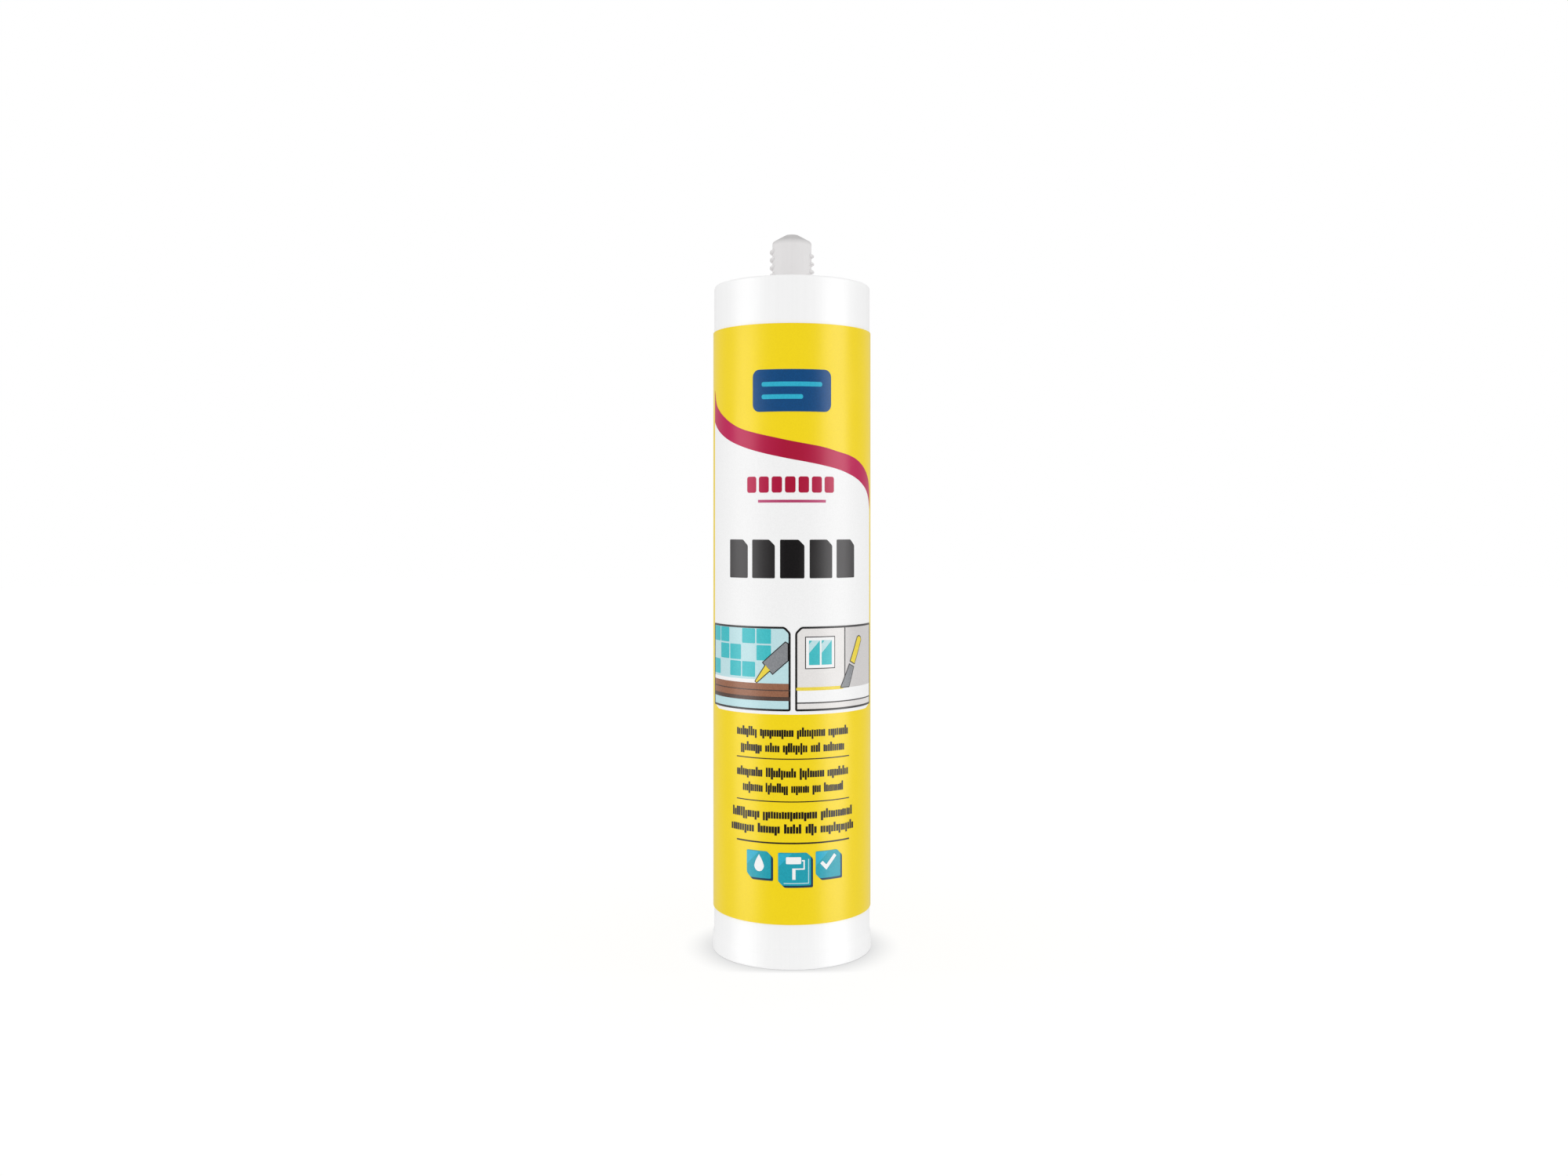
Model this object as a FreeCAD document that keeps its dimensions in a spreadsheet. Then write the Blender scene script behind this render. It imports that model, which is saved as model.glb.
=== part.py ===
"""A caulk tube: a moulded plastic cartridge with a closed threaded neck, a wrapped label, a sliding
piston and a fill of acrylic paste. It stands on its open rear end with the neck up.

Lengths are millimetres. The origin is the centre of the rear rim, +Z runs up through the neck, and -Y
is the printed front.
"""

import FreeCAD, Part
import math
import os
import re

import Sketcher

# Each driving size: name, value and what it is.
SIZES = [
    ("barrel_outer_d", 49.6, "outside diameter of the barrel between foot and shoulder"),
    ("barrel_wall", 1.5, "wall of the barrel, which leaves the bore"),
    ("barrel_height", 210.0, "rear rim to the flat of the shoulder's edge"),
    ("rim_radius", 0.7, "rounding where the barrel turns into the shoulder"),
    ("head_thickness", 2.0, "plastic between the bore's flat end and the shoulder's edge"),
    ("head_fillet", 1.0, "rounding inside, where the bore meets its flat end"),
    ("shoulder_rise", 1.5, "how far the shoulder climbs from its edge to the neck"),
    ("foot_height", 4.8, "straight part of the thicker rear end, which stands as proud as the label"),
    ("foot_taper", 1.4, "length over which the rear end thins to the barrel"),
    ("foot_edge_radius", 0.5, "rounding of the outer edge that the tube stands on"),
    ("mouth_relief", 0.25, "how much wider in radius the bore is at the rear"),
    ("mouth_depth", 6.5, "depth of that wider mouth"),
    ("mouth_taper", 0.8, "length of the cone from the mouth to the bore"),
    ("lead_in", 0.4, "chamfer at the mouth's edge"),
    ("neck_outer_d", 12.5, "neck without its thread"),
    ("neck_bore_d", 9.0, "passage through the neck"),
    ("neck_base_fillet", 0.4, "rounding where the neck leaves the shoulder"),
    ("neck_land", 2.5, "plain neck above the thread"),
    ("tip_d", 4.0, "flat on the closed tip"),
    ("tip_rise", 2.4, "height of the tip's cone"),
    ("tip_wall", 1.2, "plastic that closes the neck, cut off before use"),
    ("tip_edge_radius", 0.5, "rounding where the tip's cone meets the neck"),
    ("thread_height", 0.85, "how far the thread stands out of the neck"),
    ("thread_pitch", 2.5, "rise in one turn"),
    ("thread_turns", 4, "ridges above each other on each side"),
    ("thread_gap", 0.5, "plain neck below the thread"),
    ("thread_root", 1.4, "width of a ridge where it leaves the neck"),
    ("thread_crest", 0.45, "width of a ridge at its top"),
    ("thread_span", 50.0, "degrees round the neck that each side's ridges cover"),
    ("thread_bury", 0.4, "how deep a ridge starts inside the neck's wall"),
    ("label_thickness", 0.4, "film of the wrapped label"),
    ("label_glue", 0.02, "adhesive between label and barrel"),
    ("label_bottom", 13.6, "rear rim to the label's lower edge"),
    ("label_top_margin", 14.7, "label's upper edge to the shoulder's edge"),
    ("label_seam", 0.5, "slot between the label's two ends, at the back"),
    ("piston_recess", 8.0, "rear rim to the piston's rear edge when the tube is full"),
    ("piston_height", 22.0, "rear edge to front face of the piston"),
    ("piston_clearance", 0.05, "running clearance of the piston's lips in the bore"),
    ("piston_relief", 0.6, "how far the piston stands back between its lips"),
    ("piston_lip", 2.2, "height of each sealing lip"),
    ("piston_skirt", 1.6, "wall of the piston's skirt"),
    ("piston_lead_in", 0.5, "chamfer inside the piston's rear edge"),
    ("piston_floor", 1.8, "thickness of the piston's front"),
    ("piston_edge_radius", 1.3, "rounding of the piston's front edge"),
    ("piston_ledge", 0.6, "step inside the skirt, on which a push plate bears"),
    ("piston_hub_d", 9.0, "boss in the middle of the piston's cup"),
    ("rib_count", 8, "ribs behind the piston's floor"),
    ("rib_thickness", 1.2, "thickness of a rib"),
    ("rib_height", 4.0, "height of the ribs, the boss and the ledge behind the floor"),
    ("rib_bury", 0.5, "how deep a rib runs into the skirt and the floor"),
    ("paste_gap", 0.05, "hair's breadth kept between the paste and the plastic"),
]

# Radii and heights that follow from the driving sizes.
BARREL_R = "barrel_outer_d / 2"
BORE_R = f"({BARREL_R} - barrel_wall)"
MOUTH_R = f"({BORE_R} + mouth_relief)"
NECK_R = "neck_outer_d / 2"
NECK_BORE_R = "neck_bore_d / 2"
TIP_R = "tip_d / 2"
HEAD_Z = "(barrel_height - head_thickness)"
NECK_BASE_Z = "(barrel_height + shoulder_rise)"
THREAD_Z = f"({NECK_BASE_Z} + thread_gap)"
RIDGE_RISE = "(thread_pitch * thread_span / 360)"
NECK_TOP_Z = f"({THREAD_Z} + thread_turns * thread_pitch + neck_land)"
TIP_Z = f"({NECK_TOP_Z} + tip_rise)"
TIP_INSIDE_Z = f"({TIP_Z} - tip_wall)"
# The hollow of the tip keeps the slope of the cone outside.
TIP_INSIDE_R = f"({NECK_BORE_R} - (tip_rise - tip_wall) * ({NECK_R} - {TIP_R}) / tip_rise)"
PISTON_FRONT_Z = "(piston_recess + piston_height)"
LIP_R = f"({BORE_R} - piston_clearance)"
RELIEF_R = f"({LIP_R} - piston_relief)"
SKIRT_R = f"({RELIEF_R} - piston_skirt)"
LEDGE_R = f"({SKIRT_R} - piston_ledge)"
PISTON_FLOOR_Z = f"({PISTON_FRONT_Z} - piston_floor)"
PLATE_Z = f"({PISTON_FLOOR_Z} - rib_height)"
LABEL_INNER_R = f"({BARREL_R} + label_glue)"
LABEL_OUTER_R = f"({LABEL_INNER_R} + label_thickness)"
FOOT_R = LABEL_OUTER_R
LABEL_TOP_Z = "(barrel_height - label_top_margin)"

TOLERANCE = 1e-4
FULL_TURN = 360.0
UPWARDS = FreeCAD.Vector(0, 1, 0)

doc = FreeCAD.newDocument("CaulkTube")
sheet = doc.addObject("Spreadsheet::Sheet", "Sizes")
SIZE_NAMES = [name for name, _, _ in SIZES]


def fill_sheet():
    """Puts every driving size in the sheet, with its name as the cell's alias and its meaning beside it."""
    for row, (name, amount, meaning) in enumerate(SIZES, start=1):
        sheet.set(f"A{row}", name)
        sheet.set(f"B{row}", str(amount))
        sheet.set(f"C{row}", meaning)
        sheet.setAlias(f"B{row}", name)
    doc.recompute()


def bound(formula):
    """The formula with each size's name pointing into the sheet."""
    return re.sub(r"[a-z_]+", lambda word: f"Sizes.{word[0]}" if word[0] in SIZE_NAMES else word[0], formula)


def worth(formula):
    """What the formula comes to with the sheet's present sizes."""
    return float(sheet.evalExpression(bound(formula)))


def origin_plane(body, role):
    """One of a body's own origin planes."""
    return next(plane for plane in body.Origin.OriginFeatures if plane.Role == role)


def new_body(name):
    """An empty body whose label names the piece."""
    body = doc.addObject("PartDesign::Body", f"{name}_body")
    body.Label = name
    return body


def new_sketch(body, name, role="XZ_Plane"):
    """An empty sketch on one of the body's origin planes."""
    sketch = body.newObject("Sketcher::SketchObject", name)
    sketch.AttachmentSupport = [(origin_plane(body, role), "")]
    sketch.MapMode = "FlatFace"
    return sketch


def pin_point(sketch, line, across, up):
    """Ties the first point of a line to formulas for its distance from the axis and its height."""
    for kind, formula, axis in (("DistanceX", across, -2), ("DistanceY", up, -1)):
        if formula == "0":
            sketch.addConstraint(Sketcher.Constraint("PointOnObject", line, 1, axis))
            continue
        tie = sketch.addConstraint(Sketcher.Constraint(kind, -1, 1, line, 1, worth(formula)))
        sketch.setExpression(f"Constraints[{tie}]", bound(formula))


def draw_outline(sketch, corners):
    """A closed outline of straight lines through corners given as formulas."""
    points = [FreeCAD.Vector(worth(across), worth(up), 0) for across, up in corners]
    for start, end in zip(points, points[1:] + points[:1]):
        sketch.addGeometry(Part.LineSegment(start, end))
    for line in range(len(points)):
        sketch.addConstraint(Sketcher.Constraint("Coincident", line, 2, (line + 1) % len(points), 1))
    for line, (across, up) in enumerate(corners):
        pin_point(sketch, line, across, up)


def turn(body, name, corners):
    """A solid of revolution about the body's vertical axis."""
    sketch = new_sketch(body, f"{name}_outline")
    draw_outline(sketch, corners)
    turned = body.newObject("PartDesign::Revolution", f"{name}_turned")
    turned.Profile = sketch
    turned.ReferenceAxis = (sketch, ["V_Axis"])
    turned.Angle = FULL_TURN
    doc.recompute()
    return turned


def ring_edges(feature, radius, height):
    """Names of the feature's edges that circle the vertical axis with that radius at that height."""
    found = []
    for number, edge in enumerate(feature.Shape.Edges, start=1):
        curve = edge.Curve
        if not isinstance(curve, Part.Circle):
            continue
        on_axis = math.hypot(curve.Center.x, curve.Center.y) < TOLERANCE
        if on_axis and abs(curve.Radius - radius) < TOLERANCE and abs(curve.Center.z - height) < TOLERANCE:
            found.append(f"Edge{number}")
    if not found:
        raise ValueError(f"{feature.Name} has no ring of radius {radius} at {height}")
    return found


def round_ring(body, name, feature, across, up, radius):
    """Rounds the ring at that radius and height, both given as formulas."""
    fillet = body.newObject("PartDesign::Fillet", name)
    fillet.Base = (feature, ring_edges(feature, worth(across), worth(up)))
    fillet.setExpression("Radius", bound(radius))
    doc.recompute()
    return fillet


def make_barrel():
    """The cartridge: foot, barrel, shoulder, threaded neck and closed tip, moulded in one piece."""
    body = new_body("barrel")
    solid = turn(
        body,
        "barrel",
        [
            (f"{MOUTH_R} + lead_in", "0"),
            (FOOT_R, "0"),
            (FOOT_R, "foot_height"),
            (BARREL_R, "foot_height + foot_taper"),
            (BARREL_R, "barrel_height"),
            (NECK_R, NECK_BASE_Z),
            (NECK_R, NECK_TOP_Z),
            (TIP_R, TIP_Z),
            ("0", TIP_Z),
            ("0", TIP_INSIDE_Z),
            (TIP_INSIDE_R, TIP_INSIDE_Z),
            (NECK_BORE_R, NECK_TOP_Z),
            (NECK_BORE_R, HEAD_Z),
            (BORE_R, HEAD_Z),
            (BORE_R, "mouth_depth + mouth_taper"),
            (MOUTH_R, "mouth_depth"),
            (MOUTH_R, "lead_in"),
        ],
    )
    solid = round_ring(body, "rim_rounding", solid, BARREL_R, "barrel_height", "rim_radius")
    solid = round_ring(body, "head_rounding", solid, BORE_R, HEAD_Z, "head_fillet")
    solid = round_ring(body, "foot_rounding", solid, FOOT_R, "0", "foot_edge_radius")
    solid = round_ring(body, "neck_base_rounding", solid, NECK_R, NECK_BASE_Z, "neck_base_fillet")
    solid = round_ring(body, "tip_rounding", solid, NECK_R, NECK_TOP_Z, "tip_edge_radius")
    add_ridges(body, "right_thread", "0", "0")
    add_ridges(body, "left_thread", "180", "thread_pitch / 2")
    return body


def add_ridges(body, name, facing, lift):
    """One side's ridges: arcs of a right-hand helix, one above the other, facing an angle round the neck."""
    sketch = new_sketch(body, f"{name}_outline")
    # Any turn will do here: it sets the axis, and the formula then sets the angle.
    sketch.AttachmentOffset = FreeCAD.Placement(FreeCAD.Vector(), FreeCAD.Rotation(UPWARDS, FULL_TURN / 4))
    sketch.setExpression("AttachmentOffset.Rotation.Angle", bound(f"{facing} - thread_span / 2"))
    inside = f"{NECK_R} - thread_bury"
    crest = f"{NECK_R} + thread_height"
    middle = f"({THREAD_Z} + thread_root / 2 + {lift} - {RIDGE_RISE} / 2)"
    # The flanks run on into the wall, so a ridge is wider still at its buried foot.
    half_foot = "(thread_root / 2 + thread_bury * (thread_root - thread_crest) / (2 * thread_height))"
    draw_outline(
        sketch,
        [
            (inside, f"{middle} - {half_foot}"),
            (crest, f"{middle} - thread_crest / 2"),
            (crest, f"{middle} + thread_crest / 2"),
            (inside, f"{middle} + {half_foot}"),
        ],
    )
    ridge = body.newObject("PartDesign::AdditiveHelix", f"{name}_ridge")
    ridge.Profile = sketch
    ridge.ReferenceAxis = (sketch, ["V_Axis"])
    ridge.Mode = "pitch-height-angle"
    ridge.setExpression("Pitch", bound("thread_pitch"))
    ridge.setExpression("Height", bound(RIDGE_RISE))
    doc.recompute()
    stack = body.newObject("PartDesign::LinearPattern", f"{name}_stack")
    stack.Originals = [ridge]
    stack.Direction = (sketch, ["V_Axis"])
    stack.setExpression("Length", bound("thread_pitch * (thread_turns - 1)"))
    stack.setExpression("Occurrences", bound("thread_turns"))
    body.Tip = stack
    doc.recompute()


def make_label():
    """The printed film, wrapped once round the barrel, with its ends facing each other at the back."""
    body = new_body("label")
    wrap = turn(
        body,
        "label",
        [
            (LABEL_INNER_R, "label_bottom"),
            (LABEL_OUTER_R, "label_bottom"),
            (LABEL_OUTER_R, LABEL_TOP_Z),
            (LABEL_INNER_R, LABEL_TOP_Z),
        ],
    )
    sketch = new_sketch(body, "seam_outline", "YZ_Plane")
    draw_outline(
        sketch,
        [
            (BARREL_R, "label_bottom - label_thickness"),
            (f"{LABEL_OUTER_R} + label_thickness", "label_bottom - label_thickness"),
            (f"{LABEL_OUTER_R} + label_thickness", f"{LABEL_TOP_Z} + label_thickness"),
            (BARREL_R, f"{LABEL_TOP_Z} + label_thickness"),
        ],
    )
    seam = body.newObject("PartDesign::Pocket", "seam")
    seam.Profile = sketch
    seam.setExpression("Length", bound("label_seam"))
    seam.Midplane = True
    doc.recompute()
    if seam.Shape.Volume >= wrap.Shape.Volume:
        raise ValueError("the seam cut nothing out of the label")
    return body


def make_piston():
    """The plunger: a cup open to the rear, with two sealing lips, and ribs and a boss behind its front."""
    body = new_body("piston")
    lip_foot = f"{PISTON_FRONT_Z} - piston_lip"
    solid = turn(
        body,
        "piston",
        [
            (SKIRT_R, "piston_recess + piston_lead_in"),
            (f"{SKIRT_R} + piston_lead_in", "piston_recess"),
            (LIP_R, "piston_recess"),
            (LIP_R, "piston_recess + piston_lip"),
            (RELIEF_R, "piston_recess + piston_lip + piston_relief"),
            (RELIEF_R, f"{lip_foot} - piston_relief"),
            (LIP_R, lip_foot),
            (LIP_R, PISTON_FRONT_Z),
            ("0", PISTON_FRONT_Z),
            ("0", PLATE_Z),
            ("piston_hub_d / 2", PLATE_Z),
            ("piston_hub_d / 2", PISTON_FLOOR_Z),
            (LEDGE_R, PISTON_FLOOR_Z),
            (LEDGE_R, PLATE_Z),
            (SKIRT_R, PLATE_Z),
        ],
    )
    round_ring(body, "front_rounding", solid, LIP_R, PISTON_FRONT_Z, "piston_edge_radius")
    sketch = new_sketch(body, "rib_outline")
    draw_outline(
        sketch,
        [
            ("0", PLATE_Z),
            (f"{LEDGE_R} + rib_bury", PLATE_Z),
            (f"{LEDGE_R} + rib_bury", f"{PISTON_FLOOR_Z} + rib_bury"),
            ("0", f"{PISTON_FLOOR_Z} + rib_bury"),
        ],
    )
    rib = body.newObject("PartDesign::Pad", "rib")
    rib.Profile = sketch
    rib.setExpression("Length", bound("rib_thickness"))
    rib.Midplane = True
    doc.recompute()
    ribs = body.newObject("PartDesign::PolarPattern", "ribs")
    ribs.Originals = [rib]
    ribs.Axis = (sketch, ["V_Axis"])
    ribs.Angle = FULL_TURN
    ribs.setExpression("Occurrences", bound("rib_count"))
    body.Tip = ribs
    doc.recompute()
    return body


def make_paste():
    """The acrylic paste between the piston and the tip, which fills the bore and the neck."""
    body = new_body("sealant")
    paste_r = f"({BORE_R} - paste_gap)"
    core_r = f"({NECK_BORE_R} - paste_gap)"
    top = f"({HEAD_Z} - paste_gap)"
    solid = turn(
        body,
        "sealant",
        [
            ("0", PISTON_FRONT_Z),
            (paste_r, PISTON_FRONT_Z),
            (paste_r, top),
            (core_r, top),
            (core_r, f"{NECK_TOP_Z} - paste_gap"),
            (f"{TIP_INSIDE_R} - paste_gap", f"{TIP_INSIDE_Z} - paste_gap"),
            ("0", f"{TIP_INSIDE_Z} - paste_gap"),
        ],
    )
    round_ring(body, "paste_rounding", solid, paste_r, top, "head_fillet")
    return body


def check_and_write(bodies):
    """Stops at the first failed object or bad shape, and writes each piece to its own file."""
    doc.recompute()
    for item in doc.Objects:
        if {"Invalid", "Error"} & set(item.State):
            raise ValueError(f"{item.Name} failed: {item.State}")
    os.makedirs("parts", exist_ok=True)
    for body in bodies:
        shape = body.Shape
        if shape.isNull() or not shape.isValid() or len(shape.Solids) != 1:
            raise ValueError(f"{body.Label} has a bad shape with {len(shape.Solids)} solids")
        shape.exportStep(os.path.join("parts", f"{body.Label}.step"))
        box = shape.optimalBoundingBox()
        print(f"{body.Label}: {shape.Volume:.1f} mm3, z {box.ZMin:.2f} to {box.ZMax:.2f}")


fill_sheet()
check_and_write([make_barrel(), make_label(), make_piston(), make_paste()])
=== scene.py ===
import math
import random

import bmesh
import bpy
from mathutils import Matrix, Vector


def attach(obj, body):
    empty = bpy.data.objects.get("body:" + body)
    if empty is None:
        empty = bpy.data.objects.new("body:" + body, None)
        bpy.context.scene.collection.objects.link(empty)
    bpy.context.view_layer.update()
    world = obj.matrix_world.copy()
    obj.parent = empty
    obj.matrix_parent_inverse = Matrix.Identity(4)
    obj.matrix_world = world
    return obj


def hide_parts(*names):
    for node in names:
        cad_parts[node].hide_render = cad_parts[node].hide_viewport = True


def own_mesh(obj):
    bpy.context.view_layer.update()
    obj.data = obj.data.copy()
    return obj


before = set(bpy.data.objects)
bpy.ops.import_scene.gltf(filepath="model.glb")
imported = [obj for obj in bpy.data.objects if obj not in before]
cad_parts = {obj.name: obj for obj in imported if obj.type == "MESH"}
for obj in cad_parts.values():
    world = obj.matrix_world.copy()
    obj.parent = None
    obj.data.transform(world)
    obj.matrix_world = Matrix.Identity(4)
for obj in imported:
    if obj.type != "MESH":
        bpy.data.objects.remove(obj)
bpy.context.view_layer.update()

# All sizes are in millimetres and become metres through MM.
MM = 0.001
TURN_STEPS = 192

BARREL_R = 24.8
BORE_R = 23.3
HEAD_Z = 208.0
RIM_Z = 210.0
FOOT_R = 25.22
FOOT_TOP_Z = 4.8
FOOT_TAPER_Z = 6.2
MOUTH_R = 23.55
MOUTH_CHAMFER = 0.4
MOUTH_Z = 6.5
MOUTH_TAPER_Z = 7.3
NECK_R = 6.25
NECK_BORE_R = 4.5
NECK_BASE_Z = 211.5
NECK_TOP_Z = 224.5
TIP_R = 2.0
TIP_Z = 226.9
TIP_HOLLOW_R = 2.375
TIP_HOLLOW_Z = 225.7

RIDGE_CREST_R = 7.1
RIDGE_ROOT = 1.4
RIDGE_CREST = 0.45
RIDGE_SPAN = math.radians(50)
RIDGE_RUN_OUT = math.radians(7)
RIDGE_RISE = 0.347
RIDGE_STEPS = 40
# The ridges' middle heights on the tube's right side (0 degrees) and on its left (180 degrees).
RIDGE_MIDDLES = {0: (212.7, 215.2, 217.7, 220.2), 180: (213.95, 216.45, 218.95, 221.45)}

LABEL_INNER_R = 24.82
LABEL_R = 25.10
LABEL_BOTTOM_Z = 13.6
LABEL_TOP_Z = 195.3
LABEL_SEAM = 0.5
# The radius at which the flat artwork's lengths hold, and the ink that each layer adds.
ARTWORK_R = 25.15
INK = 0.025
FACET = math.radians(2)

# The two pictures, as (arc length from the front's middle, height) laid flat.
PICTURE_LEFT = (-32.5, -0.6)
PICTURE_RIGHT = (1.2, 33.2)
PICTURE_BOTTOM_Z = 78.3
PICTURE_TOP_Z = 103.4
OUTLINE_WIDTH = 0.28
FRAME_WIDTH = 0.6

PISTON_Z = 8.0
PISTON_FRONT_Z = 30.0
LIP_R = 23.25
LIP_HEIGHT = 2.2
LIP_TAPER = 0.6
RELIEF_R = 22.65
SKIRT_R = 21.05
SKIRT_CHAMFER = 0.5
LEDGE_R = 20.45
LEDGE_Z = 24.2
PISTON_FLOOR_Z = 28.2
BOSS_R = 4.5
RIB_COUNT = 8
RIB_THICKNESS = 1.2
RIB_BURY = 0.4

PASTE_R = 23.25
PASTE_TOP_Z = 207.95
PASTE_GAP = 0.05

# The studio, in metres and watts.
FLOOR_R = 3.0
LAMP_DISTANCE = 0.9
LAMP_HEIGHT = 0.07
LAMP_LENGTH = 1.5


# Nodes and colours

def linear(code):
    """An sRGB hex colour as the linear values that a shader takes."""
    parts = [int(code[i:i + 2], 16) / 255 for i in (1, 3, 5)]
    levels = [c / 12.92 if c <= 0.04045 else ((c + 0.055) / 1.055) ** 2.4 for c in parts]
    return (*levels, 1.0)


def add(tree, kind, settings=None, links=None, stops=None):
    """Adds one node with its settings, links its sockets and sets the stops of a colour ramp."""
    node = tree.nodes.new("ShaderNode" + kind)
    for key, value in (settings or {}).items():
        if isinstance(key, int) or key in node.inputs:
            node.inputs[key].default_value = value
        else:
            setattr(node, key, value)
    for key, source in (links or {}).items():
        tree.links.new(source, node.inputs[key])
    if stops:
        while len(node.color_ramp.elements) < len(stops):
            node.color_ramp.elements.new(0.5)
        for element, (place, code) in zip(node.color_ramp.elements, stops):
            element.position, element.color = place, linear(code)
    return node


def new_material(name):
    """An empty node material, its tree, its shader and the piece's own coordinates in mm."""
    material = bpy.data.materials.new(name)
    material.use_nodes = True
    tree = material.node_tree
    tree.nodes.clear()
    shader = add(tree, "BsdfPrincipled")
    add(tree, "OutputMaterial", links={"Surface": shader.outputs[0]})
    place = add(tree, "TexCoord").outputs["Object"]
    millimetres = add(tree, "Mapping", {"Scale": (1 / MM,) * 3}, {"Vector": place})
    return material, tree, shader, millimetres.outputs[0]


def surface(tree, shader, place, grain, depth, rough, spread, patch):
    """Fine relief of one grain size, and a roughness that drifts in patches. Sizes are in mm."""
    relief = add(tree, "TexNoise", {"Scale": 1 / grain, "Detail": 3.0}, {"Vector": place})
    height = relief.outputs[0]
    bump = add(tree, "Bump", {"Strength": 0.6, "Distance": depth * MM}, {"Height": height})
    tree.links.new(bump.outputs[0], shader.inputs["Normal"])
    drift = add(tree, "TexNoise", {"Scale": 1 / patch, "Detail": 2.0}, {"Vector": place})
    gloss = add(
        tree,
        "MapRange",
        {"From Min": 0.3, "From Max": 0.7, "To Min": rough - spread, "To Max": rough + spread},
        {"Value": drift.outputs[0]},
    )
    tree.links.new(gloss.outputs[0], shader.inputs["Roughness"])
    return gloss.outputs[0]


def white_polyethylene():
    """Injection-moulded polyethylene: milky and softly glossy, with a faint grain and drawn lines
    up the wall. The neck is painted greyer, partly because its thin wall lets less light back and
    partly as painted shade, and it was left matt. The tip's cone is painted darker still, as
    painted shade."""
    material, tree, shader, place = new_material("white_polyethylene")
    gloss = surface(tree, shader, place, grain=0.9, depth=0.02, rough=0.4, spread=0.03, patch=18)
    height = add(tree, "SeparateXYZ", links={0: place})
    neck = add(
        tree,
        "MapRange",
        {"From Min": RIM_Z + 0.6, "From Max": NECK_BASE_Z + 0.3, "To Min": 0.0, "To Max": 0.35},
        {"Value": height.outputs[2]},
    )
    dull = add(tree, "Math", {"operation": "ADD"}, {0: gloss, 1: neck.outputs[0]})
    tree.links.new(dull.outputs[0], shader.inputs["Roughness"])
    # Greyer towards the neck, partly as painted shade, and darkest at the tip as painted shade on
    # its cone.
    share = add(tree, "Math", {"operation": "DIVIDE", 1: TIP_Z}, {0: height.outputs[2]})
    tone = add(
        tree,
        "ValToRGB",
        links={0: share.outputs[0]},
        stops=[
            (0.0, "#F5F5F5"),
            (0.927, "#F5F5F5"),
            (0.937, "#E5E3E3"),
            (0.986, "#E0DEDE"),
            (0.9905, "#C0BEBE"),
        ],
    )
    lines = add(tree, "Mapping", {"Scale": (1.4, 1.4, 0.012)}, {"Vector": place})
    drawn = add(tree, "TexNoise", {"Scale": 1.0, "Detail": 2.0}, {"Vector": lines.outputs[0]})
    faint = add(
        tree,
        "MapRange",
        {"From Min": 0.3, "From Max": 0.7, "To Min": 0.985, "To Max": 1.0},
        {"Value": drawn.outputs[0]},
    )
    shade = add(
        tree, "VectorMath", {"operation": "SCALE"}, {0: tone.outputs[0], "Scale": faint.outputs[0]}
    )
    tree.links.new(shade.outputs[0], shader.inputs["Base Color"])
    shader.inputs["IOR"].default_value = 1.51
    shader.inputs["Specular IOR Level"].default_value = 0.32
    shader.inputs["Subsurface Weight"].default_value = 0.08
    shader.inputs["Subsurface Radius"].default_value = (1.0, 1.0, 1.0)
    shader.inputs["Subsurface Scale"].default_value = 1.5 * MM
    return material


def natural_polyethylene():
    """Unpigmented polyethylene of the piston: waxy off-white, matte, with soft cloudiness."""
    material, tree, shader, place = new_material("natural_polyethylene")
    surface(tree, shader, place, grain=0.7, depth=0.03, rough=0.5, spread=0.05, patch=9)
    cloud = add(tree, "TexNoise", {"Scale": 1 / 7.0, "Detail": 3.0}, {"Vector": place})
    tone = add(
        tree, "ValToRGB", links={0: cloud.outputs[0]}, stops=[(0.3, "#DEDCD6"), (0.7, "#E9E7E1")]
    )
    tree.links.new(tone.outputs[0], shader.inputs["Base Color"])
    shader.inputs["IOR"].default_value = 1.51
    return material


def acrylic_paste():
    """Acrylic sealant: smooth and wet, off-white, with slow smears from filling."""
    material, tree, shader, place = new_material("acrylic_paste")
    surface(tree, shader, place, grain=2.5, depth=0.12, rough=0.28, spread=0.06, patch=6)
    smear = add(
        tree, "TexNoise", {"Scale": 1 / 5.0, "Detail": 2.0, "Distortion": 0.8}, {"Vector": place}
    )
    tone = add(
        tree, "ValToRGB", links={0: smear.outputs[0]}, stops=[(0.3, "#E9E8E3"), (0.7, "#F2F1EC")]
    )
    tree.links.new(tone.outputs[0], shader.inputs["Base Color"])
    shader.inputs["IOR"].default_value = 1.45
    return material


def printed_ink(name, code, deep=None, rough=0.34, sides=None):
    """Flexographic ink under matt varnish on label film: even colour with a fine mottle where the
    ink lies thicker, and the film's slight ripple in the gloss. An ink may turn to a lighter tone
    towards the label's sides: a painted sheen, standing in for the gloss seen there."""
    material, tree, shader, place = new_material(name)
    surface(tree, shader, place, grain=1.6, depth=0.012, rough=rough, spread=0.03, patch=11)
    mottle = add(tree, "TexNoise", {"Scale": 1 / 0.45, "Detail": 4.0}, {"Vector": place})
    tone = add(
        tree, "ValToRGB", links={0: mottle.outputs[0]}, stops=[(0.35, deep or code), (0.65, code)]
    ).outputs[0]
    # The sides tone is a painted sheen: it lightens the ink towards the label's left and right.
    if sides:
        across = add(tree, "SeparateXYZ", links={0: place})
        aside = add(tree, "Math", {"operation": "ABSOLUTE"}, {0: across.outputs[0]}).outputs[0]
        fade = add(tree, "MapRange", {"From Min": 2.0, "From Max": 19.0}, {"Value": aside})
        tone = add(
            tree,
            "Mix",
            {"data_type": "RGBA", 7: linear(sides)},
            {0: fade.outputs[0], 6: tone},
        ).outputs[2]
    tree.links.new(tone, shader.inputs["Base Color"])
    shader.inputs["IOR"].default_value = 1.5
    shader.inputs["Specular IOR Level"].default_value = 0.2
    return material


# Turned pieces

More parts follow.
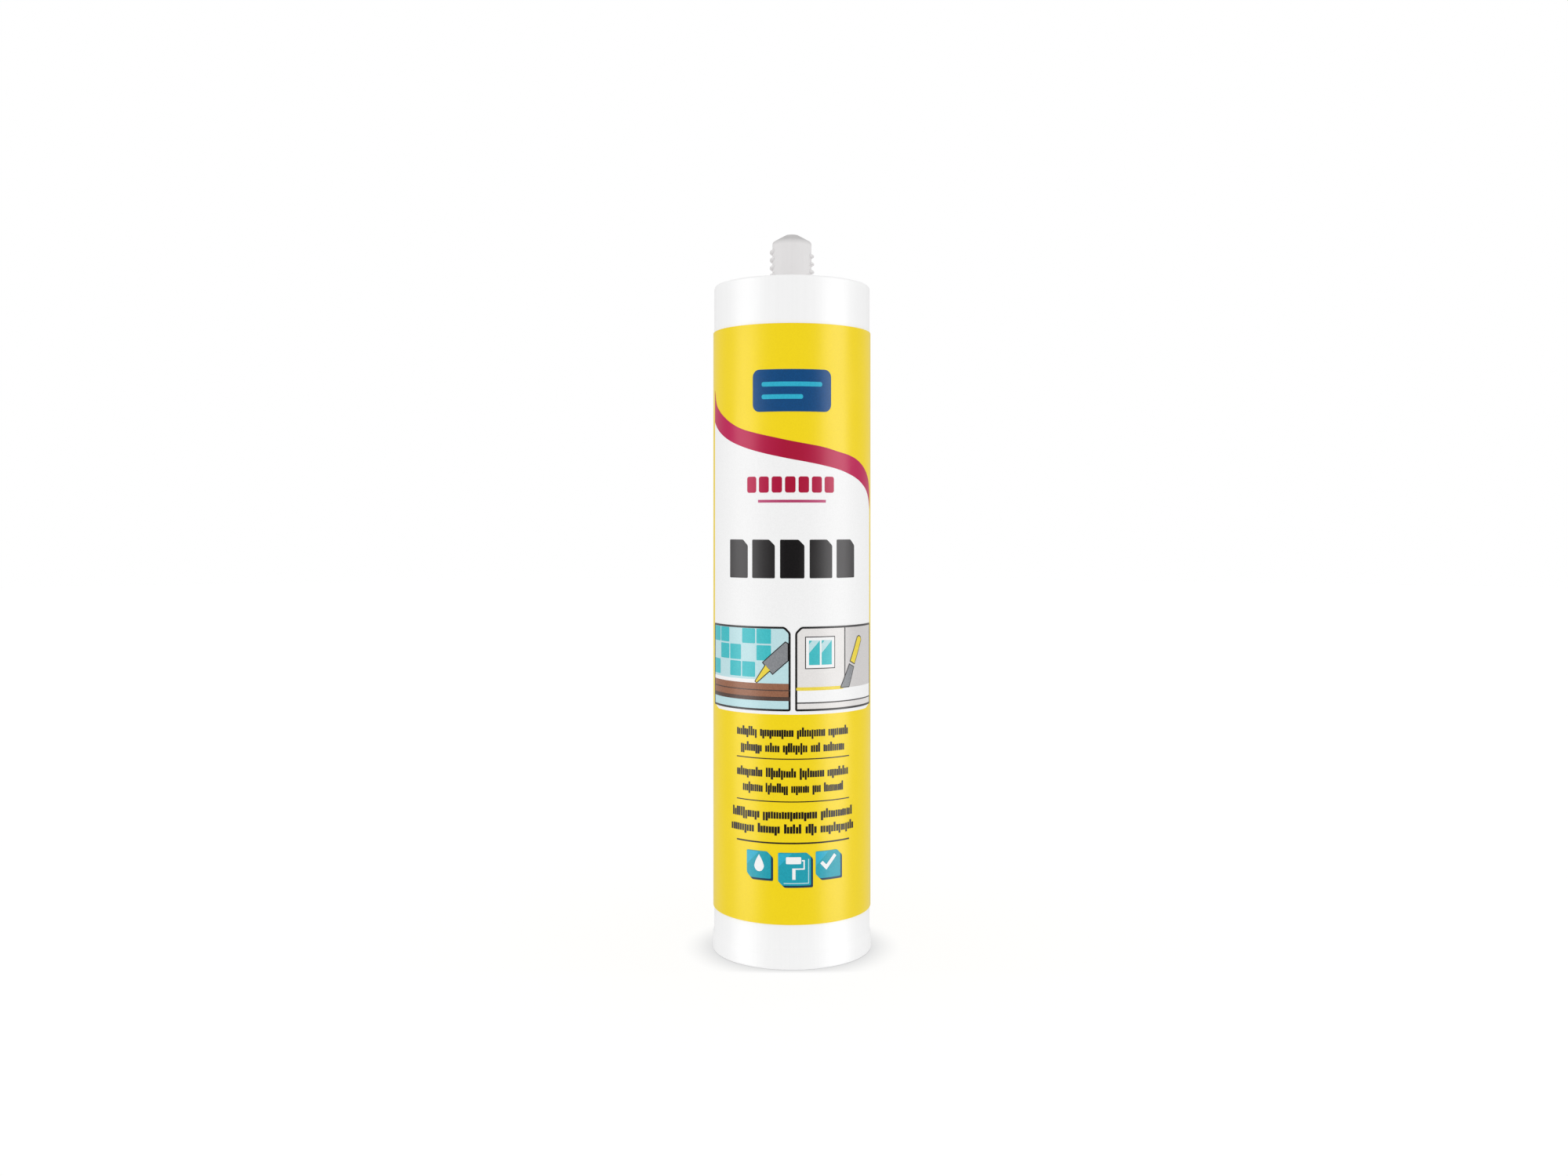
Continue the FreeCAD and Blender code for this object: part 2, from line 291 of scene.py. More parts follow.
def turned(outline, angle=2 * math.pi, steps=TURN_STEPS):
    """Spins an outline of (radius, height) about the tube's axis. One that starts and ends on the
    axis is left open there, and any other is closed."""
    bm = bmesh.new()
    points = [bm.verts.new((r * MM, 0, z * MM)) for r, z in outline]
    pairs = list(zip(points, points[1:]))
    if outline[0][0] or outline[-1][0]:
        pairs.append((points[-1], points[0]))
    edges = [bm.edges.new(pair) for pair in pairs]
    bmesh.ops.spin(
        bm,
        geom=points + edges,
        cent=(0, 0, 0),
        axis=(0, 0, 1),
        angle=angle,
        steps=steps,
        use_merge=angle == 2 * math.pi,
    )
    bmesh.ops.remove_doubles(bm, verts=bm.verts, dist=1e-7)
    bmesh.ops.recalc_face_normals(bm, faces=bm.faces)
    return bm


def round_rings(bm, rings):
    """Rounds the edges that run round the axis at each (radius, height), by the radius given."""
    for r, z, size in rings:
        ring = [
            e
            for e in bm.edges
            if all(
                abs(math.hypot(v.co.x, v.co.y) - r * MM) < 2e-5 and abs(v.co.z - z * MM) < 2e-5
                for v in e.verts
            )
        ]
        bmesh.ops.bevel(
            bm,
            geom=ring,
            offset=size * MM,
            offset_type="OFFSET",
            segments=4,
            profile=0.5,
            affect="EDGES",
            material=-1,
        )


def soften_edges(bm, size, segments=2):
    """Breaks every sharp edge of a small moulding by the size given."""
    limit = math.radians(30)
    sharp = [e for e in bm.edges if len(e.link_faces) == 2 and e.calc_face_angle() > limit]
    bmesh.ops.bevel(
        bm,
        geom=sharp,
        offset=size * MM,
        offset_type="OFFSET",
        segments=segments,
        profile=0.5,
        affect="EDGES",
        material=-1,
        clamp_overlap=True,
    )


def take_in(bm, other):
    """Adds a separate closed form to a piece's mesh."""
    mesh = bpy.data.meshes.new("part")
    other.to_mesh(mesh)
    other.free()
    bm.from_mesh(mesh)
    bpy.data.meshes.remove(mesh)


def piece(name, bm, material, body):
    """Makes the finished object, smooth but for its edges, and lets it ride on its body."""
    for face in bm.faces:
        face.smooth = True
    for edge in bm.edges:
        edge.smooth = len(edge.link_faces) == 2 and edge.calc_face_angle() < math.radians(35)
    mesh = bpy.data.meshes.new(name)
    bm.to_mesh(mesh)
    bm.free()
    mesh.materials.append(material)
    made = bpy.data.objects.new(name, mesh)
    bpy.context.scene.collection.objects.link(made)
    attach(made, body)
    return made


def thread_ridge(facing, middle):
    """One raised stretch of the neck's right-hand thread, with its ends run out into the neck."""
    bury = 0.25
    slope = (RIDGE_ROOT - RIDGE_CREST) / 2 / (RIDGE_CREST_R - NECK_R)
    root = RIDGE_ROOT / 2 + bury * slope
    section = [
        (NECK_R - bury, -root),
        (RIDGE_CREST_R, -RIDGE_CREST / 2),
        (RIDGE_CREST_R, RIDGE_CREST / 2),
        (NECK_R - bury, root),
    ]
    bm = bmesh.new()
    start = [bm.verts.new((r * MM, 0, (middle - RIDGE_RISE / 2 + z) * MM)) for r, z in section]
    face = bm.faces.new(start)
    bmesh.ops.spin(
        bm,
        geom=[face],
        cent=(0, 0, 0),
        axis=(0, 0, 1),
        dvec=(0, 0, RIDGE_RISE / RIDGE_STEPS * MM),
        angle=RIDGE_SPAN,
        steps=RIDGE_STEPS,
    )
    bmesh.ops.remove_doubles(bm, verts=bm.verts, dist=1e-8)
    for v in bm.verts:
        r = math.hypot(v.co.x, v.co.y)
        inside = min(math.atan2(v.co.y, v.co.x), RIDGE_SPAN - math.atan2(v.co.y, v.co.x))
        if r > NECK_R * MM and inside < RIDGE_RUN_OUT:
            lower = NECK_R * MM + (r - NECK_R * MM) * (0.15 + 0.85 * inside / RIDGE_RUN_OUT)
            v.co.x, v.co.y = v.co.x * lower / r, v.co.y * lower / r
    bmesh.ops.recalc_face_normals(bm, faces=bm.faces)
    soften_edges(bm, 0.1)
    turn = Matrix.Rotation(math.radians(facing) - RIDGE_SPAN / 2, 4, "Z")
    bmesh.ops.transform(bm, matrix=turn, verts=bm.verts)
    return bm


def barrel_moulding(material):
    """The cartridge: thick foot, wall, shoulder, threaded neck and the closed tip."""
    bm = turned([
        (0, TIP_Z),
        (TIP_R, TIP_Z),
        (NECK_R, NECK_TOP_Z),
        (NECK_R, NECK_BASE_Z),
        (BARREL_R, RIM_Z),
        (BARREL_R, FOOT_TAPER_Z),
        (FOOT_R, FOOT_TOP_Z),
        (FOOT_R, 0),
        (MOUTH_R + MOUTH_CHAMFER, 0),
        (MOUTH_R, MOUTH_CHAMFER),
        (MOUTH_R, MOUTH_Z),
        (BORE_R, MOUTH_TAPER_Z),
        (BORE_R, HEAD_Z),
        (NECK_BORE_R, HEAD_Z),
        (NECK_BORE_R, NECK_TOP_Z),
        (TIP_HOLLOW_R, TIP_HOLLOW_Z),
        (0, TIP_HOLLOW_Z),
    ])
    round_rings(bm, [
        (TIP_R, TIP_Z, 0.15),
        (NECK_R, NECK_TOP_Z, 0.5),
        (NECK_R, NECK_BASE_Z, 0.4),
        (BARREL_R, RIM_Z, 0.7),
        (BARREL_R, FOOT_TAPER_Z, 0.4),
        (FOOT_R, FOOT_TOP_Z, 0.4),
        (FOOT_R, 0, 0.5),
        (BORE_R, HEAD_Z, 1.0),
    ])
    for facing, middles in RIDGE_MIDDLES.items():
        for middle in middles:
            take_in(bm, thread_ridge(facing, middle))
    made = piece("barrel_moulding", bm, material, "barrel")
    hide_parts("barrel")


def label_wrap(material):
    """The label film, once round the barrel, with its two ends facing each other at the back."""
    seam = LABEL_SEAM / LABEL_R
    bm = turned(
        [
            (LABEL_INNER_R, LABEL_BOTTOM_Z),
            (LABEL_R, LABEL_BOTTOM_Z),
            (LABEL_R, LABEL_TOP_Z),
            (LABEL_INNER_R, LABEL_TOP_Z),
        ],
        2 * math.pi - seam,
        180,
    )
    bmesh.ops.holes_fill(bm, edges=bm.edges, sides=4)
    bmesh.ops.recalc_face_normals(bm, faces=bm.faces)
    soften_edges(bm, 0.06)
    turn = Matrix.Rotation(math.pi / 2 + seam / 2, 4, "Z")
    bmesh.ops.transform(bm, matrix=turn, verts=bm.verts)
    made = piece("label_wrap", bm, material, "barrel")
    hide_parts("label")


def piston_moulding(material):
    """The plunger: a cup open to the rear with two sealing lips, and a boss and ribs in it."""
    bm = turned([
        (0, PISTON_FRONT_Z),
        (LIP_R, PISTON_FRONT_Z),
        (LIP_R, PISTON_FRONT_Z - LIP_HEIGHT),
        (RELIEF_R, PISTON_FRONT_Z - LIP_HEIGHT - LIP_TAPER),
        (RELIEF_R, PISTON_Z + LIP_HEIGHT + LIP_TAPER),
        (LIP_R, PISTON_Z + LIP_HEIGHT),
        (LIP_R, PISTON_Z),
        (SKIRT_R + SKIRT_CHAMFER, PISTON_Z),
        (SKIRT_R, PISTON_Z + SKIRT_CHAMFER),
        (SKIRT_R, LEDGE_Z),
        (LEDGE_R, LEDGE_Z),
        (LEDGE_R, PISTON_FLOOR_Z),
        (BOSS_R, PISTON_FLOOR_Z),
        (BOSS_R, LEDGE_Z),
        (0, LEDGE_Z),
    ])
    round_rings(bm, [
        (LIP_R, PISTON_FRONT_Z, 1.3),
        (LIP_R, PISTON_Z, 0.2),
        (LEDGE_R, LEDGE_Z, 0.15),
        (LEDGE_R, PISTON_FLOOR_Z, 0.4),
        (BOSS_R, PISTON_FLOOR_Z, 0.4),
        (BOSS_R, LEDGE_Z, 0.3),
    ])
    length = LEDGE_R - BOSS_R + 0.9
    height = PISTON_FLOOR_Z - LEDGE_Z + RIB_BURY
    for number in range(RIB_COUNT):
        rib = bmesh.new()
        bmesh.ops.create_cube(rib, size=1.0)
        size = Vector((length, RIB_THICKNESS, height)) * MM
        bmesh.ops.scale(rib, vec=size, verts=rib.verts)
        soften_edges(rib, 0.12)
        middle = Vector(((LEDGE_R + BOSS_R) / 2, 0, LEDGE_Z + height / 2)) * MM
        bmesh.ops.translate(rib, vec=middle, verts=rib.verts)
        turn = Matrix.Rotation(number * 2 * math.pi / RIB_COUNT, 4, "Z")
        bmesh.ops.transform(rib, matrix=turn, verts=rib.verts)
        take_in(bm, rib)
    made = piece("piston_moulding", bm, material, "piston")
    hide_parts("piston")


def paste_fill(material):
    """The paste that flattens before the piston, and the plug of it that stays in the neck."""
    charge = turned([
        (0, PISTON_FRONT_Z),
        (PASTE_R, PISTON_FRONT_Z),
        (PASTE_R, PASTE_TOP_Z),
        (0, PASTE_TOP_Z),
    ])
    round_rings(charge, [(PASTE_R, PASTE_TOP_Z, 1.0)])
    made = piece("paste_charge", charge, material, "barrel")
    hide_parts("sealant")
    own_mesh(made)
    plug = turned([
        (0, HEAD_Z + PASTE_GAP),
        (NECK_BORE_R - PASTE_GAP, HEAD_Z + PASTE_GAP),
        (NECK_BORE_R - PASTE_GAP, NECK_TOP_Z - PASTE_GAP),
        (TIP_HOLLOW_R - PASTE_GAP, TIP_HOLLOW_Z - PASTE_GAP),
        (0, TIP_HOLLOW_Z - PASTE_GAP),
    ])
    piece("paste_plug", plug, material, "barrel")


# The label's print, laid out flat as (arc length from the front's middle, height) in mm

def cut(bm, corners, rounding=0.0):
    """Cuts one flat shape with straight sides, and rounds its corners."""
    points = [bm.verts.new((s * MM, 0, z * MM)) for s, z in corners]
    bm.faces.new(points)
    if rounding:
        bmesh.ops.bevel(
            bm,
            geom=points,
            offset=rounding * MM,
            offset_type="OFFSET",
            segments=5,
            profile=0.5,
            affect="VERTICES",
            material=-1,
        )


def bar(bm, left, bottom, right, top, rounding=0.0):
    """Cuts a flat upright rectangle."""
    cut(bm, [(left, bottom), (right, bottom), (right, top), (left, top)], rounding)


def cut_curved(bm, knots):
    """Cuts one flat shape with curved sides. A knot is (arc length, height), and True marks a
    corner."""
    curve = bpy.data.curves.new("outline", "CURVE")
    curve.dimensions, curve.fill_mode, curve.resolution_u = "2D", "BOTH", 10
    spline = curve.splines.new("BEZIER")
    spline.bezier_points.add(len(knots) - 1)
    for point, (s, z, *corner) in zip(spline.bezier_points, knots):
        point.co = (s, z, 0)
        kind = "VECTOR" if corner else "AUTO"
        point.handle_left_type = point.handle_right_type = kind
    spline.use_cyclic_u = True
    outline = bpy.data.objects.new("outline", curve)
    bpy.context.scene.collection.objects.link(outline)
    graph = bpy.context.evaluated_depsgraph_get()
    flat = bpy.data.meshes.new_from_object(outline.evaluated_get(graph))
    flat.transform(Matrix.Rotation(math.pi / 2, 4, "X") @ Matrix.Scale(MM, 4))
    others = len(bm.faces)
    bm.from_mesh(flat)
    bm.faces.ensure_lookup_table()
    bmesh.ops.dissolve_faces(bm, faces=bm.faces[others:], use_verts=False)
    bpy.data.objects.remove(outline)
    bpy.data.curves.remove(curve)
    bpy.data.meshes.remove(flat)


def printed(name, bm, layer, material):
    """Bends flat shapes round the label as one film of ink: they are cut at every facet, given
    their thickness and wrapped. Each layer reaches down to the label and stands a little prouder
    than the one before."""
    edges = [v.co.x for v in bm.verts]
    width = FACET * ARTWORK_R * MM
    for number in range(math.ceil(min(edges) / width), math.floor(max(edges) / width) + 1):
        bmesh.ops.bisect_plane(
            bm,
            geom=bm.verts[:] + bm.edges[:] + bm.faces[:],
            plane_co=(number * width, 0, 0),
            plane_no=(1, 0, 0),
            dist=1e-7,
        )
    raised = set(bmesh.ops.extrude_face_region(bm, geom=bm.faces[:])["geom"])
    seat, top = (LABEL_R - 0.01) * MM, (LABEL_R + layer * INK) * MM
    for v in bm.verts:
        r, turn = top if v in raised else seat, v.co.x / (ARTWORK_R * MM)
        v.co = (r * math.sin(turn), -r * math.cos(turn), v.co.z)
    bmesh.ops.recalc_face_normals(bm, faces=bm.faces)
    return piece(name, bm, material, "barrel")


WAVE_TOP = [
    (-32.7, 176.6), (-30.7, 172.2), (-27.9, 169.8), (-24.8, 167.8), (-21.3, 165.8), (-17.1, 163.9),
    (-12.0, 162.4), (-6.0, 161.0), (0.0, 159.7), (5.1, 158.8), (10.2, 157.9), (15.0, 156.7),
    (19.2, 155.8), (22.8, 154.7), (25.6, 153.4), (28.4, 151.7), (30.6, 149.9), (32.3, 147.8),
    (33.4, 144.4),
]
WAVE_FOOT = [
    (33.4, 139.5), (31.8, 142.8), (29.4, 145.3), (26.6, 147.0), (24.0, 148.3), (18.8, 150.2),
    (14.6, 151.4), (9.9, 152.4), (5.1, 153.3), (0.0, 154.2), (-4.9, 155.2), (-11.5, 156.8),
    (-17.0, 158.5), (-22.0, 160.4), (-26.7, 162.7), (-30.4, 165.0), (-32.7, 166.8),
]


def label_fields(white, burgundy):
    """The white field, and the burgundy wave that parts it from the yellow."""
    bm = bmesh.new()
    middle = [(s, z + 2.5) for s, z in WAVE_FOOT[1:-1]]
    cut_curved(
        bm,
        [(-32.7, 170.0, True), (-32.7, 81.5, True), (-31.6, 78.5), (-28.6, 77.1, True)]
        + [(29.0, 77.1, True), (32.3, 78.5), (33.4, 81.5, True), (33.4, 139.0, True)]
        + middle,
    )
    printed("label_white_field", bm, 1, white)
    bm = bmesh.new()
    ends = [WAVE_TOP[0], WAVE_TOP[-1], WAVE_FOOT[0], WAVE_FOOT[-1]]
    cut_curved(bm, [k + ((True,) if k in ends else ()) for k in WAVE_TOP + WAVE_FOOT])
    printed("label_wave", bm, 2, burgundy)


def head_marks(inks):
    """Plain shapes in the upper part: a blue plaque with light lines, a burgundy row with its rule,
    and a charcoal row."""
    bm = bmesh.new()
    bar(bm, -12.4, 168.6, 12.4, 181.4, 2.2)
    printed("label_plaque", bm, 2, inks["blue"])
    bm = bmesh.new()
    bar(bm, -9.4, 176.2, 9.4, 177.6, 0.6)
    bar(bm, -9.4, 172.4, 3.4, 173.8, 0.6)
    printed("label_plaque_lines", bm, 3, inks["cyan"])
    bm = bmesh.new()
    for left in (-14.4, -10.3, -6.2, -2.1, 2.0, 6.1, 10.2):
        bar(bm, left, 144.1, left + 3.2, 149.0, 0.7)
    printed("label_burgundy_row", bm, 2, inks["burgundy"])
    bm = bmesh.new()
    bar(bm, -10.6, 141.1, 10.6, 141.95)
    printed("label_burgundy_rule", bm, 2, inks["light_burgundy"])
    bm = bmesh.new()
    for left, right in ((-21.6, -14.2), (-12.6, -5.2), (-3.6, 3.8), (5.4, 12.8), (14.4, 21.8)):
        cut(
            bm,
            [(left, 118.2), (right, 118.2), (right, 128.1), (right - 1.8, 129.9), (left, 129.9)],
            0.35,
        )
    printed("label_charcoal_row", bm, 2, inks["charcoal"])


def outlined(name, shapes, layer, fill, line):
    """Cuts flat shapes with a thin dark line round each: the line's ink lies under the fill and
    shows past it."""
    for part, inset, ink in (("_line", 0.0, line), ("", OUTLINE_WIDTH, fill)):
        bm = bmesh.new()
        for corners in shapes:
            cut(bm, corners)
        if inset:
            bm.normal_update()
            rings = bmesh.ops.inset_individual(
                bm, faces=bm.faces[:], thickness=inset * MM, use_even_offset=True
            )
            bmesh.ops.delete(bm, geom=rings["faces"], context="FACES")
        printed(name + part, bm, layer + (inset > 0), ink)


def picture_left(inks):
    """Left picture: tiles over a worktop, and a cartridge that lays a bead in their joint."""
    left_edge, right_edge = PICTURE_LEFT
    bm = bmesh.new()
    cut(bm, [
        (left_edge, PICTURE_BOTTOM_Z), (right_edge, PICTURE_BOTTOM_Z), (right_edge, 101.6),
        (-2.6, PICTURE_TOP_Z), (left_edge, PICTURE_TOP_Z),
    ])
    printed("left_wall", bm, 2, inks["pale_teal"])
    bm = bmesh.new()
    for row in range(3):
        for column in range(6):
            left, bottom = -31.9 + 5.2 * column, 88.2 + 5.1 * row
            if (row + column) % 3 != 1 and left + 4.7 < -1.2:
                bar(bm, left, bottom, left + 4.7, min(bottom + 4.6, 102.9), 0.3)
    printed("left_tiles", bm, 3, inks["teal"])
    bm = bmesh.new()
    bar(bm, left_edge, 82.4, right_edge, 86.4)
    printed("left_worktop", bm, 3, inks["brown"])
    bm = bmesh.new()
    bar(bm, left_edge, 81.2, right_edge, 82.4)
    bar(bm, left_edge, 84.2, right_edge, 84.5)
    printed("left_worktop_edge", bm, 4, inks["dark_brown"])
    bm = bmesh.new()
    bar(bm, left_edge, 86.4, -10.4, 87.5, 0.5)
    printed("left_bead", bm, 3, inks["white"])
    outlined(
        "left_nozzle",
        [[(-11.8, 86.9), (-11.0, 86.3), (-6.3, 90.4), (-8.1, 92.4)]],
        4,
        inks["soft_yellow"],
        inks["charcoal"],
    )
    outlined(
        "left_cartridge",
        [[(-9.3, 92.7), (-5.9, 89.0), (-1.0, 93.3), (-1.0, 98.6), (-2.0, 99.2)]],
        4,
        inks["tool_grey"],
        inks["charcoal"],
    )


def picture_right(inks):
    """Right picture: a room's corner with a window, and a filling knife at the joint over the
    skirting board."""
    left_edge, right_edge = PICTURE_RIGHT
    bm = bmesh.new()
    cut(bm, [
        (left_edge, PICTURE_BOTTOM_Z), (right_edge, PICTURE_BOTTOM_Z), (right_edge, PICTURE_TOP_Z),
        (3.2, PICTURE_TOP_Z), (left_edge, 101.6),
    ])
    printed("right_wall", bm, 2, inks["warm_grey"])
    bm = bmesh.new()
    bar(bm, 17.6, 84.6, right_edge, PICTURE_TOP_Z)
    printed("right_wall_shade", bm, 3, inks["mid_grey"])
    bm = bmesh.new()
    bar(bm, left_edge, 80.6, right_edge, 84.6)
    printed("right_skirting", bm, 3, inks["white"])
    left, bottom, right, top = 4.0, 90.8, 13.8, 100.6
    outlined(
        "right_window",
        [[(left, bottom), (right, bottom), (right, top), (left, top)]],
        3,
        inks["white"],
        inks["charcoal"],
    )
    bm = bmesh.new()
    bar(bm, 5.2, 92.0, 8.6, 99.4)
    bar(bm, 9.2, 92.0, 12.6, 99.4)
    printed("right_panes", bm, 5, inks["teal"])
    bm = bmesh.new()
    cut(bm, [(5.2, 95.6), (8.6, 99.4), (6.2, 99.4), (5.2, 98.3)])
    cut(bm, [(9.2, 95.6), (12.6, 99.4), (10.2, 99.4), (9.2, 98.3)])
    printed("right_pane_glints", bm, 6, inks["pale_teal"])
    bm = bmesh.new()
    bar(bm, 17.4, 84.9, 17.75, 103.3)
    bar(bm, 1.3, 80.4, right_edge, 80.75)
    printed("right_joints", bm, 4, inks["charcoal"])
    bm = bmesh.new()
    bar(bm, 1.3, 84.3, 17.0, 85.3, 0.4)
    printed("right_bead", bm, 4, inks["soft_yellow"])
    outlined(
        "right_blade",
        [[(15.6, 84.6), (19.4, 84.6), (21.7, 90.8), (19.4, 91.9)]],
        5,
        inks["tool_grey"],
        inks["charcoal"],
    )
    outlined(
        "right_handle",
        [[(19.6, 92.5), (21.9, 91.4), (25.6, 98.7), (25.3, 99.8), (24.2, 100.3), (23.2, 99.9)]],
        5,
        inks["soft_yellow"],
        inks["charcoal"],
    )


def picture_frames(charcoal):
    """Thin dark lines round the two pictures."""
    bm = bmesh.new()
    cut(bm, [(-32.6, 78.1), (-0.4, 78.1), (-0.4, 101.8), (-2.2, 103.6), (-32.6, 103.6)], 0.6)
    cut(bm, [(1.0, 78.1), (33.3, 78.1), (33.3, 103.6), (2.8, 103.6), (1.0, 101.8)], 0.6)
    insides = bm.faces[:]
    bmesh.ops.inset_individual(bm, faces=insides, thickness=FRAME_WIDTH * MM, use_even_offset=True)
    bmesh.ops.delete(bm, geom=insides, context="FACES")
    printed("picture_frames", bm, 4, charcoal)


def text_rows(inks):
    """Rows of plain dark strokes where the small print runs, with thin rules between them. A row is
    (height, left end, right end, strokes per word in pairs)."""
    rows = [
        (70.4, -18.4, 19.0, (5, 7, 6, 5)),
        (65.7, -16.8, 17.4, (5, 3, 5, 2, 5)),
        (58.1, -18.4, 19.0, (6, 6, 5, 5)),
        (53.5, -16.0, 17.0, (5, 5, 4, 2, 5)),
        (45.6, -20.2, 20.8, (6, 10, 7)),
        (41.2, -20.8, 21.4, (5, 4, 3, 2, 7)),
    ]
    word_gap = 1.3
    chance = random.Random(7)
    bm = bmesh.new()
    for base, left, right, words in rows:
        strokes = 2 * sum(words)
        pitch = (right - left) / (strokes + word_gap * (len(words) - 1))
        s = left
        for count in words:
            for _ in range(2 * count):
                rise = chance.choice((1.9, 2.0, 2.1, 2.0, 2.8))
                drop = chance.choice((0.0, 0.0, 0.0, 0.0, 0.7))
                gap = pitch * chance.uniform(0.12, 0.28)
                bar(bm, s, base - drop, s + pitch - gap, base + rise, 0.1)
                s += pitch
            s += word_gap * pitch
    printed("label_text_rows", bm, 2, inks["small_print"])
    bm = bmesh.new()
    for z, thick in ((63.5, 0.3), (50.6, 0.3), (38.0, 0.45)):
        bar(bm, -18.5, z, 19.4, z + thick)
    printed("label_rules", bm, 2, inks["small_print"])


def back_rows(inks):
    """Blocks of fine print either side of the seam: rows of plain dashes as long as words, under a
    short heavy row."""
    columns = ((-73.0, -44.0), (44.0, 73.0))
    pitch, word_gap = 2.2, 0.75
    chance = random.Random(11)
    bm = bmesh.new()
    for left, right in columns:
        for top, rows in ((176.0, 9), (143.0, 11), (104.0, 8), (74.0, 10)):
            bar(bm, left, top, left + chance.uniform(9.0, 15.0), top + 1.4, 0.25)
            for row in range(rows):
                low = top - 2.5 - pitch * row
                end = right - (0 if row < rows - 1 else chance.uniform(8.0, 20.0))
                s = left
                while s < end - 1.4:
                    word = min(chance.uniform(1.3, 5.2), end - s)
                    bar(bm, s, low, s + word, low + 0.75, 0.15)
                    s += word + word_gap
    printed("label_back_rows", bm, 1, inks["small_print"])
    bm = bmesh.new()
    for left, right in columns:
        for z in (148.6, 109.6, 79.4):
            bar(bm, left, z, right, z + 0.3)
    printed("label_back_rules", bm, 1, inks["small_print"])


def badge_outline(left, bottom, right, top, corner):
    """A badge with two opposite corners drawn in."""
    return [
        (left, bottom + corner), (left, top), (right - corner, top), (right, top - corner),
        (right, bottom), (left + corner, bottom),
    ]


def badges(inks):
    """Three teal badges with a dark lower edge and a white sign: a drop, a roller and a tick."""
    sizes = [(-14.5, 27.4, -6.4, 35.6), (-4.2, 25.5, 5.8, 35.4), (7.3, 27.4, 15.8, 35.6)]
    corner, shadow = 1.3, 0.65
    bm = bmesh.new()
    for left, bottom, right, top in sizes:
        low_edge = badge_outline(left + shadow, bottom - shadow, right + shadow, top - 0.6, corner)
        cut(bm, low_edge, 0.4)
    printed("badge_shadows", bm, 2, inks["navy"])
    bm = bmesh.new()
    for left, bottom, right, top in sizes:
        cut(bm, badge_outline(left, bottom, right, top, corner), 0.4)
    printed("badge_faces", bm, 3, inks["badge_teal"])
    bm = bmesh.new()
    for left, bottom, right, top in sizes:
        cut(bm, [(left, top - 4.4), (left, top - 0.2), (left + 4.2, top - 0.2)], 0.1)
    printed("badge_glints", bm, 4, inks["cyan"])
    bm = bmesh.new()
    left, bottom, right, top = sizes[1]
    cut(bm, [
        (left + 1.7, bottom + 0.55), (right - 0.6, bottom + 0.55), (right - 0.6, top - 1.9),
        (right - 0.85, top - 1.9), (right - 0.85, bottom + 0.8), (left + 1.7, bottom + 0.8),
    ])
    printed("badge_line", bm, 4, inks["pale_teal"])
    bm = bmesh.new()
    left, bottom, right, top = sizes[0]
    middle, low = (left + right) / 2 + 0.2, bottom + 2.0
    cut_curved(bm, [
        (middle, low + 5.2, True), (middle + 1.3, low + 2.7), (middle + 1.5, low + 1.2),
        (middle, low), (middle - 1.5, low + 1.2), (middle - 1.3, low + 2.7),
    ])
    left, bottom, right, top = sizes[1]
    middle, low = (left + right) / 2, bottom + 1.8
    bar(bm, middle - 2.6, low + 4.7, middle + 2.0, low + 6.8, 0.3)
    cut(bm, [
        (middle - 0.7, low), (middle + 0.3, low), (middle + 0.3, low + 3.0),
        (middle + 3.1, low + 3.0), (middle + 3.1, low + 5.9), (middle + 2.2, low + 5.9),
        (middle + 2.2, low + 5.5), (middle + 2.7, low + 5.5), (middle + 2.7, low + 3.4),
        (middle - 0.7, low + 3.4),
    ])
    left, bottom, right, top = sizes[2]
    middle, low = (left + right) / 2, bottom + 2.4
    cut(bm, [
        (middle - 0.8, low), (middle + 2.7, low + 4.0), (middle + 1.9, low + 4.7),
        (middle - 0.8, low + 1.6), (middle - 2.0, low + 2.8), (middle - 2.8, low + 2.1),
    ], 0.12)
    printed("badge_signs", bm, 4, inks["white"])


# Light, floor and camera

